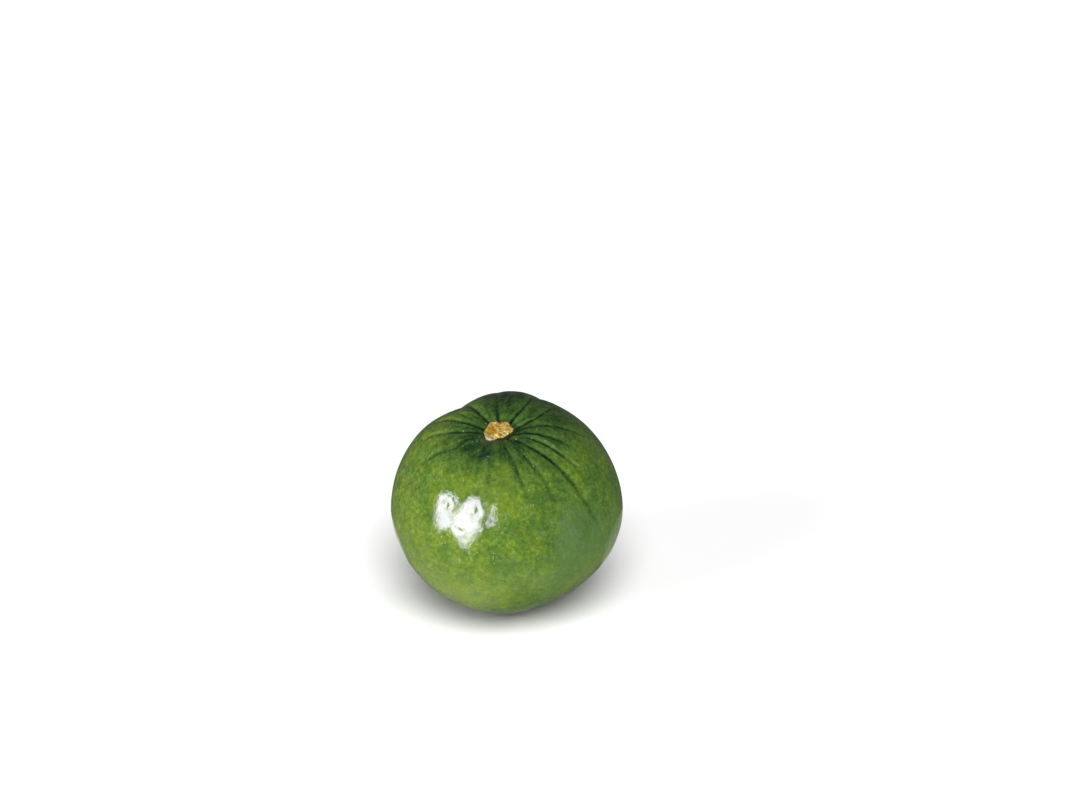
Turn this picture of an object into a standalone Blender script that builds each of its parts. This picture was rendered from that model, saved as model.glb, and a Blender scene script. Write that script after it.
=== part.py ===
"""A round zucchini as picked: the ribbed green fruit, and the cut corky stem in the hollow on its top.

Metres, +Z up. Longitudes and polar angles are the fruit's own: the polar angle is 0 at the stem and 180
degrees at the blossom end. The fruit leans towards -Y and lies on a flat spot at z = 0.
"""

from collections import namedtuple
from math import cos, exp, hypot, pi, radians, sin

import bmesh
import bpy
from mathutils import Matrix, Vector

# The fruit, before its hollows
WIDTH = 0.1200
HEIGHT = 0.1130
LOW_BELLY = 0.045
STEM_SLOPE = 0.030
BLOSSOM_SLOPE = 0.036
SLOPE_CHANGE_START = radians(70.0)
SLOPE_CHANGE_END = radians(110.0)

# How it lies
LEAN_FORWARD = radians(19.0)
LEAN_LEFT = radians(4.0)
FLAT_SPOT_DEPTH = 0.0010

# The hollow round the stem, and the blossom end
HOLLOW_DEPTH = 0.0046
HOLLOW_RADIUS = 0.0135
BLOSSOM_DEPTH = 0.0016
BLOSSOM_RADIUS = 0.0110
SCAR_RADIUS = 0.0042
SCAR_HEIGHT = 0.0006
SCAR_EDGE = 0.2

# The cut stem and its seat
STUB_RISE = 0.0034
SEAT_DEPTH = 0.0012
GAP = 0.0003
EDGE_FLATNESS = 0.85
CUT_SAG = 0.0003
FACE_SHARE = 0.90

# How wide the stem's wall is at each share of its height
Level = namedtuple("Level", "rise width")
WALL_LEVELS = [Level(0.85, 0.955), Level(0.45, 0.985), Level(0.0, 1.0)]

# Shallow ridges on the cut face: height and phase, and turns in radians for a metre along X and along Y
Ridge = namedtuple("Ridge", "height turns_x turns_y phase")
CUT_RIDGES = [Ridge(0.00016, 1900, 500, 0.0), Ridge(0.00012, -700, 1500, 1.0)]

# The stem's blunt corners: longitude in degrees and distance from its middle
Corner = namedtuple("Corner", "longitude radius")
CORNERS = [
    Corner(-1, 0.0077),
    Corner(50, 0.0074),
    Corner(125, 0.0076),
    Corner(188, 0.0077),
    Corner(222, 0.0082),
    Corner(300, 0.0057),
]

# The furrows between the ribs, with their longitudes near the stem and further down: angles in degrees,
# sizes in metres
Furrow = namedtuple("Furrow", "near far start end depth width")
FURROWS = [
    Furrow(-152.0, -173.0, 16, 66, 0.0005, 0.0030),
    Furrow(-142.0, -146.0, 8, 36, 0.0003, 0.0028),
    Furrow(-128.5, -122.5, 10, 58, 0.0006, 0.0030),
    Furrow(-97.5, -101.0, 10, 62, 0.0003, 0.0030),
    Furrow(-73.5, -70.5, 7, 46, 0.0008, 0.0017),
    Furrow(-56.0, -54.5, 12, 52, 0.0007, 0.0018),
    Furrow(-36.5, -32.0, 4, 88, 0.0018, 0.0022),
    Furrow(-19.3, -20.3, 14, 58, 0.0013, 0.0018),
    Furrow(-6.5, -6.5, 4, 48, 0.0012, 0.0017),
    Furrow(9.5, 13.0, 4, 60, 0.0012, 0.0017),
    Furrow(19.0, 42.0, 4, 66, 0.0012, 0.0017),
    Furrow(32.0, 50.5, 5, 42, 0.0006, 0.0016),
    Furrow(49.0, 61.5, 4, 78, 0.0014, 0.0020),
    Furrow(91.5, 91.0, 4, 60, 0.0009, 0.0019),
    Furrow(125.5, 119.0, 4, 84, 0.0019, 0.0021),
    Furrow(144.0, 134.5, 6, 46, 0.0006, 0.0017),
    Furrow(156.5, 144.5, 4, 62, 0.0015, 0.0018),
    Furrow(177.5, 165.0, 4, 56, 0.0014, 0.0018),
]
NEAR_POLAR = radians(10.0)
FAR_POLAR = radians(45.0)
FADE = radians(22.0)

# Further down each furrow grows wider
SPREADING = 0.7
SPREAD_START = radians(32.0)
SPREAD_END = radians(62.0)

# The shape across a furrow: a crease in the middle of the hollow between two rounded ribs
CREASE_SHARPNESS = 1.5
RIB_SHARE = 0.45
RIB_WIDTH = 0.0060

# The furrows and ribs wander a little from side to side
WANDER = radians(1.3)
WANDER_ALONG = 2.3
WANDER_ROUND = 1.7

# Faint ribs round the blossom end
BLOSSOM_RIBS = 5
BLOSSOM_RIB_DEPTH = 0.0004
BLOSSOM_RIB_TURN = 0.7
RIBS_RISE_START = radians(128.0)
RIBS_RISE_END = radians(158.0)
RIBS_FALL_START = radians(166.0)
RIBS_FALL_END = radians(174.0)

# Gentle swellings and flats of the belly: angles in degrees, sizes in metres
Swelling = namedtuple("Swelling", "longitude polar reach height")
SWELLINGS = [
    Swelling(80, 47, 20, 0.0012),
    Swelling(122, 47, 18, -0.0014),
    Swelling(150, 62, 20, 0.0006),
    Swelling(-158, 103, 20, -0.0006),
    Swelling(-60, 120, 22, -0.0017),
    Swelling(-18, 100, 20, 0.0004),
    Swelling(15, 75, 20, -0.0007),
    Swelling(95, 126, 38, 0.0024),
    Swelling(170, 132, 30, 0.0012),
    Swelling(15, 130, 30, 0.0012),
]

# The mesh
COLUMN_STEP = 3.2
RINGS = 40
END_DENSITY = 0.62
STUB_COLUMNS = 48
STUB_RINGS = 5
SEAT_SHARES = (0.5, 1.0)
WIDEST_SEAT = pi / 3
HALVINGS = 30
SHARP_ANGLE = radians(50.0)

GREEN = (0.105, 0.235, 0.035, 1.0)
SKIN_ROUGHNESS = 0.30
CORK = (0.560, 0.400, 0.150, 1.0)
CORK_ROUGHNESS = 0.80


def clear_scene():
    for thing in list(bpy.data.objects):
        bpy.data.objects.remove(thing)


def smooth_step(low, high, value):
    share = min(1.0, max(0.0, (value - low) / (high - low)))
    return share * share * (3.0 - 2.0 * share)


def turn_between(first, second):
    """The signed angle from the second longitude to the first, the short way round."""
    return (first - second + pi) % (2 * pi) - pi


def profile(polar):
    """Distance from the stem axis and height on it, of the fruit without hollows and furrows."""
    share = smooth_step(SLOPE_CHANGE_START, SLOPE_CHANGE_END, polar)
    slope = STEM_SLOPE + (BLOSSOM_SLOPE - STEM_SLOPE) * share
    belly = 1.0 - slope * sin(2 * polar) ** 2
    radius = WIDTH / 2 * sin(polar) * belly * (1.0 - LOW_BELLY * cos(polar))
    return radius, HEIGHT / 2 * cos(polar)


def slanted(near, far, polar):
    """The longitude at this polar angle of a line that runs from near to far, both in degrees."""
    return radians(near + (far - near) * smooth_step(NEAR_POLAR, FAR_POLAR, polar))


def furrow_depth(longitude, polar, radius):
    """How deep all the furrows are at this place: each has a narrow crease between two rounded ribs."""
    depth = 0.0
    for furrow in FURROWS:
        start, end = radians(furrow.start), radians(furrow.end)
        reach = smooth_step(start - FADE / 3, start + FADE / 3, polar)
        reach *= 1.0 - smooth_step(end - FADE, end, polar)
        if reach == 0.0:
            continue
        across = abs(turn_between(longitude, slanted(furrow.near, furrow.far, polar))) * radius
        across /= 1.0 + SPREADING * smooth_step(SPREAD_START, SPREAD_END, polar)
        crease = exp(-((across / furrow.width) ** CREASE_SHARPNESS))
        shoulder = exp(-((across / RIB_WIDTH) ** 2))
        depth += furrow.depth * reach * ((1.0 - RIB_SHARE) * crease + RIB_SHARE * shoulder)
    return depth


def blossom_ribs(longitude, polar):
    reach = smooth_step(RIBS_RISE_START, RIBS_RISE_END, polar)
    reach *= 1.0 - smooth_step(RIBS_FALL_START, RIBS_FALL_END, polar)
    return BLOSSOM_RIB_DEPTH * reach * cos(BLOSSOM_RIBS * longitude + BLOSSOM_RIB_TURN)


def swelling_height(longitude, polar):
    height = 0.0
    for swelling in SWELLINGS:
        around = turn_between(longitude, radians(swelling.longitude)) * sin(polar)
        along = polar - radians(swelling.polar)
        height += swelling.height * exp(-(hypot(around, along) / radians(swelling.reach)) ** 2)
    return height


def hollow_depth(polar, radius):
    """How far the ends are drawn in along the stem axis, towards the fruit's middle."""
    if polar < pi / 2:
        return HOLLOW_DEPTH * exp(-((radius / HOLLOW_RADIUS) ** 2))
    beyond = smooth_step(1.0 - SCAR_EDGE, 1.0 + SCAR_EDGE, radius / SCAR_RADIUS)
    scar = SCAR_HEIGHT * (1.0 - beyond)
    return BLOSSOM_DEPTH * exp(-((radius / BLOSSOM_RADIUS) ** 2)) - scar


def fruit_point(longitude, polar):
    radius, height = profile(polar)
    relief = swelling_height(longitude, polar) + blossom_ribs(longitude, polar)
    relief -= furrow_depth(longitude, polar, radius)
    radius += relief * sin(polar)
    height += relief * cos(polar)
    height -= hollow_depth(polar, radius) * (1.0 if polar < pi / 2 else -1.0)
    heading = longitude + WANDER * sin(WANDER_ALONG * polar + WANDER_ROUND * cos(longitude))
    return Vector((radius * cos(heading), radius * sin(heading), height))


def stub_radius(longitude):
    """Distance from the middle of the stem to its outline, which has blunt corners and flat sides."""
    degrees_round = longitude * 180 / pi % 360
    for first, second in zip(CORNERS, CORNERS[1:] + CORNERS[:1]):
        span = (second.longitude - first.longitude) % 360
        share = (degrees_round - first.longitude) % 360 / span
        if share <= 1.0:
            break
    radius = first.radius + (second.radius - first.radius) * smooth_step(0.0, 1.0, share)
    flat = EDGE_FLATNESS * (1.0 - cos(radians(span / 2))) * sin(pi * share) ** 2
    return radius * (1.0 - flat)


def seat_polar(longitude):
    """The polar angle at which the fruit's skin meets the rim of the stem's seat."""
    target = stub_radius(longitude) + GAP
    low, high = 0.0, WIDEST_SEAT
    for _ in range(HALVINGS):
        middle = (low + high) / 2
        if profile(middle)[0] < target:
            low = middle
        else:
            high = middle
    return high


def columns():
    """Each column of the mesh by its longitudes near the stem and further down. One follows each furrow."""
    found = []
    for first, second in zip(FURROWS, FURROWS[1:] + FURROWS[:1]):
        near_span = (second.near - first.near) % 360
        far_span = (second.far - first.far) % 360
        count = round(far_span / COLUMN_STEP)
        shares = [i / count for i in range(count)]
        found += [(first.near + near_span * share, first.far + far_span * share) for share in shares]
    return found


def ring_shares():
    """How far down from the seat's rim to the blossom end each ring lies, closer together near both ends."""
    steps = [i / RINGS for i in range(RINGS)]
    return [step - END_DENSITY * sin(2 * pi * step) / (2 * pi) for step in steps]


def closed_mesh(name, rings, first_pole, last_pole):
    """A closed mesh from rings of as many points each, with a pole point at either end."""
    form = bmesh.new()
    rows = [[form.verts.new(point) for point in ring] for ring in rings]
    count = len(rows[0])
    start = form.verts.new(first_pole)
    end = form.verts.new(last_pole)
    for i in range(count):
        after = (i + 1) % count
        form.faces.new((start, rows[0][i], rows[0][after]))
        form.faces.new((end, rows[-1][after], rows[-1][i]))
        for upper, lower in zip(rows, rows[1:]):
            form.faces.new((upper[i], lower[i], lower[after], upper[after]))
    mesh = bpy.data.meshes.new(name)
    form.to_mesh(mesh)
    form.free()
    return mesh


def seat_height():
    """The level of the seat's floor on the stem axis, under the lowest point of the seat's rim."""
    longitudes = [radians(near) for near, far in columns()]
    return min(fruit_point(longitude, seat_polar(longitude)).z for longitude in longitudes) - SEAT_DEPTH


def seat_floor(longitude, share, height):
    radius = share * (stub_radius(longitude) + GAP)
    return Vector((radius * cos(longitude), radius * sin(longitude), height))


def fruit_mesh():
    floor = seat_height()
    rings = []
    for share in SEAT_SHARES:
        rings.append([seat_floor(radians(near), share, floor) for near, far in columns()])
    for share in ring_shares():
        ring = []
        for near, far in columns():
            rim = seat_polar(radians(near))
            polar = rim + (pi - rim) * share
            ring.append(fruit_point(slanted(near, far, polar), polar))
        rings.append(ring)
    return closed_mesh("fruit", rings, Vector((0.0, 0.0, floor)), fruit_point(0.0, pi))


def lay_down(mesh):
    """Turns the mesh about the fruit's middle into the way it lies."""
    mesh.transform(Matrix.Rotation(LEAN_FORWARD, 4, "X") @ Matrix.Rotation(-LEAN_LEFT, 4, "Y"))


def resting_shift(mesh):
    """The move that puts the flat spot at z = 0 and the middle of the outline from above at 0, 0."""
    low = [min(vertex.co[axis] for vertex in mesh.vertices) for axis in range(3)]
    high = [max(vertex.co[axis] for vertex in mesh.vertices) for axis in range(3)]
    return Vector((-(low[0] + high[0]) / 2, -(low[1] + high[1]) / 2, -low[2] - FLAT_SPOT_DEPTH))


def cut_flat_spot(mesh):
    form = bmesh.new()
    form.from_mesh(mesh)
    everything = form.verts[:] + form.edges[:] + form.faces[:]
    cut = bmesh.ops.bisect_plane(
        form, geom=everything, plane_co=(0.0, 0.0, 0.0), plane_no=(0.0, 0.0, -1.0), clear_outer=True
    )
    rim = [piece for piece in cut["geom_cut"] if isinstance(piece, bmesh.types.BMEdge)]
    bmesh.ops.contextual_create(form, geom=rim)
    bmesh.ops.recalc_face_normals(form, faces=form.faces)
    form.to_mesh(mesh)
    form.free()


def stub_mesh():
    """The stem's solid: a flat foot in the seat, short walls that widen downwards, and a rough cut face."""
    foot = seat_height() + GAP
    top = foot + SEAT_DEPTH + STUB_RISE
    longitudes = [2 * pi * i / STUB_COLUMNS for i in range(STUB_COLUMNS)]
    rings = []
    for share in [(i + 1) / STUB_RINGS for i in range(STUB_RINGS)]:
        rings.append([cut_face_point(longitude, FACE_SHARE * share, top) for longitude in longitudes])
    for level in WALL_LEVELS:
        height = foot + (top - foot) * level.rise
        rings.append([wall_point(longitude, level.width, height) for longitude in longitudes])
    return closed_mesh("stem_stub", rings, cut_face_point(0.0, 0.0, top), Vector((0.0, 0.0, foot)))


def wall_point(longitude, width, height):
    radius = width * stub_radius(longitude)
    return Vector((radius * cos(longitude), radius * sin(longitude), height))


def cut_face_point(longitude, share, height):
    """A point of the cut face, this share of the way out from the middle."""
    radius = share * stub_radius(longitude)
    across, along = radius * cos(longitude), radius * sin(longitude)
    height -= CUT_SAG * (1.0 - share * share)
    for ridge in CUT_RIDGES:
        height += ridge.height * sin(ridge.turns_x * across + ridge.turns_y * along + ridge.phase)
    return Vector((across, along, height))


def add_material(name, colour, roughness):
    material = bpy.data.materials.new(name)
    material.use_nodes = True
    shader = material.node_tree.nodes["Principled BSDF"]
    shader.inputs["Base Color"].default_value = colour
    shader.inputs["Roughness"].default_value = roughness
    shader.inputs["Metallic"].default_value = 0.0
    return material


def add_piece(mesh, material, shift):
    mesh.transform(Matrix.Translation(shift))
    mesh.materials.append(material)
    mesh.shade_smooth()
    mesh.set_sharp_from_angle(angle=SHARP_ANGLE)
    piece = bpy.data.objects.new(mesh.name, mesh)
    bpy.context.scene.collection.objects.link(piece)
    return piece


def main():
    clear_scene()
    fruit = fruit_mesh()
    stub = stub_mesh()
    lay_down(fruit)
    lay_down(stub)
    shift = resting_shift(fruit)
    add_piece(fruit, add_material("skin", GREEN, SKIN_ROUGHNESS), shift)
    cut_flat_spot(fruit)
    add_piece(stub, add_material("cork", CORK, CORK_ROUGHNESS), shift)


main()
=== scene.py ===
"""A round zucchini in plain studio light, seen from the front and a little above.

Metres, +Z up. Longitudes and polar angles are the fruit's own: the polar angle is 0 at the stem and 180
degrees at the blossom end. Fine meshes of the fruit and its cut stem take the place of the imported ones.
"""

from collections import namedtuple
from math import cos, pi, radians, sin

import bpy
import numpy as np
from mathutils import Matrix, Quaternion, Vector, noise


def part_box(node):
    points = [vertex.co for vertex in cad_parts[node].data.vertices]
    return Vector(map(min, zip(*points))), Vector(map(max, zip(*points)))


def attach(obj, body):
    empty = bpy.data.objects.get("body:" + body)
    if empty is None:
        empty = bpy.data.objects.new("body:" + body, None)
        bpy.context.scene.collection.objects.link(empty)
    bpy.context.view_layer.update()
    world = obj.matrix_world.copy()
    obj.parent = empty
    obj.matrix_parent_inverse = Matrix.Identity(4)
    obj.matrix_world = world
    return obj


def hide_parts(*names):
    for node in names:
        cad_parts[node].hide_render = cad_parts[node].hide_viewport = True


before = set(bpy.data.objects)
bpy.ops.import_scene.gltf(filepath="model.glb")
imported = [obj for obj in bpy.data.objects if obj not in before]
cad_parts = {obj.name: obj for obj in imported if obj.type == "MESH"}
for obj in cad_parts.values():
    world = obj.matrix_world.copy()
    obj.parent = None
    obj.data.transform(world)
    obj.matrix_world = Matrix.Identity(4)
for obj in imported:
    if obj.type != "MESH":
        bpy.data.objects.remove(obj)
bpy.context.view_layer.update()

# The view: lens and sensor in millimetres, and how far from the fruit's middle the camera aims
LENS = 85.0
SENSOR_WIDTH = 36.0
VIEW_RISE = radians(28.0)
VIEW_DISTANCE = 1.320
AIM_RIGHT = 0.0168
AIM_UP = 0.0508

# The fruit, before its hollows
WIDTH = 0.1200
HEIGHT = 0.1130
LOW_BELLY = 0.045
STEM_SLOPE = 0.030
BLOSSOM_SLOPE = 0.036
SLOPE_CHANGE_START = radians(70.0)
SLOPE_CHANGE_END = radians(110.0)

# How it lies
LEAN_FORWARD = radians(19.0)
LEAN_LEFT = radians(4.0)
FLAT_SPOT_DEPTH = 0.0010

# The hollow round the stem, and the blossom end
HOLLOW_DEPTH = 0.0046
HOLLOW_RADIUS = 0.0135
BLOSSOM_DEPTH = 0.0016
BLOSSOM_RADIUS = 0.0110
SCAR_RADIUS = 0.0042
SCAR_HEIGHT = 0.0006
SCAR_EDGE = 0.2

# The cut stem and its seat
STUB_RISE = 0.0034
SEAT_DEPTH = 0.0012
GAP = 0.0003
EDGE_FLATNESS = 0.85

# The stem's blunt corners: longitude in degrees and distance from its middle
Corner = namedtuple("Corner", "longitude radius")
CORNERS = [
    Corner(-1, 0.0077),
    Corner(50, 0.0074),
    Corner(125, 0.0076),
    Corner(188, 0.0077),
    Corner(222, 0.0082),
    Corner(300, 0.0057),
]

# The furrows between the ribs, with their longitudes near the stem and further down: angles in degrees,
# sizes in metres
Furrow = namedtuple("Furrow", "near far start end depth width")
FURROWS = [
    Furrow(-153.0, -170.0, 22, 80, 0.0008, 0.0018),
    Furrow(-142.0, -146.0, 8, 36, 0.0003, 0.0028),
    Furrow(-128.5, -122.5, 10, 58, 0.0006, 0.0030),
    Furrow(-97.5, -101.0, 10, 62, 0.0003, 0.0030),
    Furrow(-73.5, -70.5, 7, 53, 0.0008, 0.0017),
    Furrow(-56.0, -52.0, 12, 74, 0.0008, 0.0018),
    Furrow(-36.5, -32.0, 4, 88, 0.0018, 0.0022),
    Furrow(-19.3, -20.3, 14, 58, 0.0013, 0.0018),
    Furrow(-6.5, -6.5, 4, 48, 0.0012, 0.0017),
    Furrow(9.5, 13.0, 4, 60, 0.0012, 0.0017),
    Furrow(19.0, 42.0, 4, 66, 0.0012, 0.0017),
    Furrow(32.0, 50.5, 5, 42, 0.0006, 0.0016),
    Furrow(49.0, 61.5, 4, 78, 0.0014, 0.0020),
    Furrow(91.5, 91.0, 4, 60, 0.0009, 0.0019),
    Furrow(125.5, 119.0, 4, 84, 0.0019, 0.0021),
    Furrow(144.0, 134.5, 6, 46, 0.0006, 0.0017),
    Furrow(156.5, 144.5, 4, 62, 0.0015, 0.0018),
    Furrow(177.5, 165.0, 4, 56, 0.0014, 0.0018),
]
NEAR_POLAR = radians(10.0)
FAR_POLAR = radians(45.0)
FADE = radians(22.0)

# Further down each furrow grows wider
SPREADING = 0.7
SPREAD_START = radians(32.0)
SPREAD_END = radians(62.0)

# The shape across a furrow: a crease in the middle of the hollow between two rounded ribs
CREASE_SHARPNESS = 1.5
RIB_SHARE = 0.45
RIB_WIDTH = 0.0060

# The sharp line at the bottom of a furrow, cut a little deeper and darkened with painted shade, and the
# sides next to it, lightened with painted light: widths in shares of the furrow's own. A shallow furrow has
# no line, and a deep one has the whole of it
LINE_DEPTH = 0.0004
LINE_WIDTH = 0.44
SOFT_LINE_WIDTH = 1.15
SIDE_WIDTH = 1.25
LINE_FADE = 0.55
SHALLOW_FURROW = 0.0003
DEEP_FURROW = 0.0012

# The furrows and ribs wander a little from side to side
WANDER = radians(1.3)
WANDER_ALONG = 2.3
WANDER_ROUND = 1.7

# Faint ribs round the blossom end
BLOSSOM_RIBS = 5
BLOSSOM_RIB_DEPTH = 0.0004
BLOSSOM_RIB_TURN = 0.7
RIBS_RISE_START = radians(128.0)
RIBS_RISE_END = radians(158.0)
RIBS_FALL_START = radians(166.0)
RIBS_FALL_END = radians(174.0)

# Gentle swellings and flats of the belly: angles in degrees, sizes in metres
Swelling = namedtuple("Swelling", "longitude polar reach height")
SWELLINGS = [
    Swelling(80, 47, 20, 0.0012),
    Swelling(122, 47, 18, -0.0014),
    Swelling(150, 62, 20, 0.0006),
    Swelling(-158, 103, 20, -0.0006),
    Swelling(-60, 120, 22, -0.0017),
    Swelling(-18, 100, 20, 0.0004),
    Swelling(15, 75, 20, -0.0007),
    Swelling(95, 126, 38, 0.0024),
    Swelling(170, 132, 30, 0.0012),
    Swelling(15, 130, 30, 0.0012),
]

# The fine meshes
FINE_COLUMNS = 384
FINE_RINGS = 236
END_DENSITY = 0.62
SEAT_SHARES = (0.5, 1.0)
WIDEST_SEAT = pi / 3
SEAT_STEPS = 2000
SEAT_LOOKS = 121
STUB_COLUMNS = 240
STUB_FACE_RINGS = 56
STUB_WALL_RINGS = 22
MILLIMETRES = 1000.0
ORIGIN = (0.0, 0.0, 0.0)

# Small dents and raised spots in the skin: angles in degrees, sizes in metres
Dent = namedtuple("Dent", "longitude polar radius depth")
DENTS = [
    Dent(-129.6, 50.0, 0.0026, 0.00048),
    Dent(-129.9, 50.3, 0.0013, -0.00030),
    Dent(-131.0, 45.0, 0.0010, 0.00010),
    Dent(-108.6, 48.8, 0.0029, 0.00046),
    Dent(-109.6, 48.4, 0.0015, -0.00032),
    Dent(-118.0, 54.0, 0.0009, 0.00016),
    Dent(-120.5, 59.4, 0.0010, 0.00016),
    Dent(-117.5, 60.0, 0.0012, 0.00024),
    Dent(-115.0, 60.4, 0.0011, 0.00020),
    Dent(-113.5, 63.0, 0.0011, 0.00024),
]

# Pits scattered over the skin, between these cosines of the polar angle
PIT_COUNT = 150
PIT_SEED = 4
PIT_COSINES = (-0.95, 0.90)
PIT_RADII = (0.0007, 0.0018)
PIT_STEEPNESS = 0.07

# Noise in the shapes: its height, the length of its features, and how far along in the noise it's read
Waves = namedtuple("Waves", "height length offset")
SLOW_WAVES = Waves(0.00013, 0.0150, 0.0)
RIPPLES = Waves(0.00004, 0.0042, 7.0)

# Wrinkles near the stem, with their noise drawn out along the meridians
WRINKLES = Waves(0.00012, 0.7, 3.0)
WRINKLE_FADE_START = radians(25.0)
WRINKLE_FADE_END = radians(62.0)
STREAK_ACROSS = 11.0
STREAK_ALONG = 6.0

# The rough cut stem. What goes round it is read from the noise on a circle of this radius
NOISE_RADIUS = 8.0
CUT_SHARE = 0.97
NIBBLES = Waves(0.035, 1.7, 4.0)
FIBRE_TURN = radians(-34.0)
FIBRE_STRETCH = 0.40
FIBRE_SQUASH = 0.5
FIBRE_SWAY = Waves(0.0016, 0.0038, 17.0)
FIBRES = Waves(0.00030, 0.0010, 0.0)
LUMPS = Waves(0.00045, 0.0024, 5.0)
CUT_SAG = 0.0003
RIM_START = 0.78
RIM_ROUNDING = 0.00022
RIM_SHARPNESS = 3
RIM_CHIPS = Waves(1.0, 0.0015, 11.0)

# Its wall: sizes in shares of the radius, and places in shares of the way down
RIDGES = 11
RIDGE_SHARE = 0.018
RIDGE_TURN = 0.6
RIDGE_RISE = 0.3
WEAR = Waves(0.03, 1.4, 0.0)
WEAR_ALONG = 4.0
WEAR_FADE_START = 0.70
WEAR_FADE_END = 0.95
FOOT_START = 0.5
FOOT_NARROWING = 0.01

# How much of the gap round its foot the wall may take
WALL_LIMIT = 0.3

# The flap of torn rind on the wall: angles in degrees, lengths in shares of the wall's height, and how far
# it stands out in metres
FLAP_MIDDLE = 226.0
FLAP_SPREAD = 31.0
FLAP_LENGTH = 0.44
FLAP_EVENNESS = 0.8
FLAP_TEARS = Waves(2.4, 0.9, 9.0)
FLAP_THINNING = 0.75
FLAP_EDGE = 0.02
FLAP_REACH = 0.0003

# Where its upper edge lies on the cut face, in shares of the radius
TORN_EDGE_START = 0.88
TORN_EDGE_END = 0.97

# The olive-brown collar in front of the stem: angles in degrees
COLLAR_MIDDLE = -84.0
COLLAR_WIDTH = 3.4
COLLAR_FADE = 2.4
COLLAR_SHARPNESS = 3

# Stains: angles in degrees, sizes in metres
Stain = namedtuple("Stain", "longitude polar along across strength")
TEAL_STAINS = [
    Stain(-112.5, 17.8, 0.0026, 0.0028, 1.0),
    Stain(-118.0, 21.0, 0.0020, 0.0017, 0.9),
    Stain(-100.0, 19.0, 0.0028, 0.0009, 0.5),
    Stain(-155.0, 33.0, 0.0012, 0.0011, 0.9),
    Stain(-133.0, 13.5, 0.0014, 0.0030, 0.5),
    Stain(-4.0, 14.0, 0.0016, 0.0016, 0.7),
]
# Dark patches near the stem; those on the back of the crown are painted shade
DUSKY_STAINS_AND_SHADE = [
    Stain(-121.0, 19.0, 0.0065, 0.0075, 1.0),
    Stain(-150.0, 17.0, 0.0085, 0.0080, 0.8),
    Stain(-166.0, 23.0, 0.0110, 0.0080, 0.6),
    Stain(166.0, 24.0, 0.0080, 0.0070, 0.55),
    Stain(177.0, 14.0, 0.0060, 0.0030, 0.9),
    Stain(-92.0, 15.0, 0.0020, 0.0060, 0.7),
    Stain(-40.0, 12.0, 0.0030, 0.0050, 0.7),
    Stain(-8.0, 15.0, 0.0060, 0.0050, 0.9),
    Stain(-10.0, 30.0, 0.0070, 0.0040, 0.7),
    Stain(-32.0, 30.0, 0.0120, 0.0030, 0.6),
    Stain(15.0, 30.0, 0.0120, 0.0080, 0.5),
    Stain(88.0, 36.0, 0.0100, 0.0260, 0.9),
    Stain(40.0, 45.0, 0.0120, 0.0200, 0.7),
    Stain(82.0, 21.0, 0.0110, 0.0090, 0.9),
    Stain(-101.0, 32.0, 0.0100, 0.0017, 0.50),
]
GREEN_STAINS = [
    Stain(-80.0, 106.0, 0.0110, 0.0120, 1.00),
    Stain(-93.0, 113.0, 0.0080, 0.0110, 1.00),
    Stain(-58.0, 104.0, 0.0090, 0.0100, 0.35),
    Stain(-84.0, 97.0, 0.0075, 0.0110, 0.75),
]
# Painted glints, with a few pale scratches among them
GLINTS_AND_SCRATCHES = [
    Stain(131.0, 10.6, 0.0005, 0.0005, 0.9),
    Stain(-149.0, 13.0, 0.0003, 0.0010, 0.22),
    Stain(-160.0, 10.5, 0.0006, 0.0004, 0.35),
    Stain(-150.0, 15.6, 0.0009, 0.0003, 0.20),
    Stain(-128.0, 17.0, 0.0007, 0.0003, 0.30),
    Stain(-107.0, 19.0, 0.0003, 0.0006, 0.25),
    Stain(-92.5, 54.5, 0.0009, 0.0003, 0.35),
    Stain(-88.0, 51.0, 0.0007, 0.0003, 0.30),
    Stain(-132.0, 64.0, 0.0003, 0.0012, 0.25),
    Stain(-11.0, 20.5, 0.0007, 0.0002, 0.50),
    Stain(-15.0, 26.0, 0.0008, 0.0002, 0.55),
    Stain(-16.0, 30.5, 0.0004, 0.0003, 0.60),
    Stain(-12.5, 35.0, 0.0009, 0.0002, 0.60),
    Stain(-14.5, 39.0, 0.0005, 0.0003, 0.45),
    Stain(-26.0, 29.0, 0.0006, 0.0002, 0.40),
    Stain(-24.5, 34.0, 0.0008, 0.0002, 0.50),
    Stain(-20.0, 43.5, 0.0007, 0.0002, 0.40),
    Stain(24.0, 22.0, 0.0008, 0.0002, 0.40),
    Stain(34.0, 31.0, 0.0006, 0.0002, 0.40),
    Stain(-162.0, 27.0, 0.0005, 0.0003, 0.30),
    Stain(-165.0, 21.5, 0.0006, 0.0002, 0.35),
    Stain(-154.0, 21.0, 0.0004, 0.0003, 0.30),
    Stain(-172.0, 32.0, 0.0006, 0.0002, 0.35),
    Stain(-114.5, 75.0, 0.0004, 0.0005, 0.6),
    Stain(-107.5, 73.5, 0.0003, 0.0004, 0.6),
    Stain(-109.5, 70.0, 0.0004, 0.0003, 0.5),
]
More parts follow.
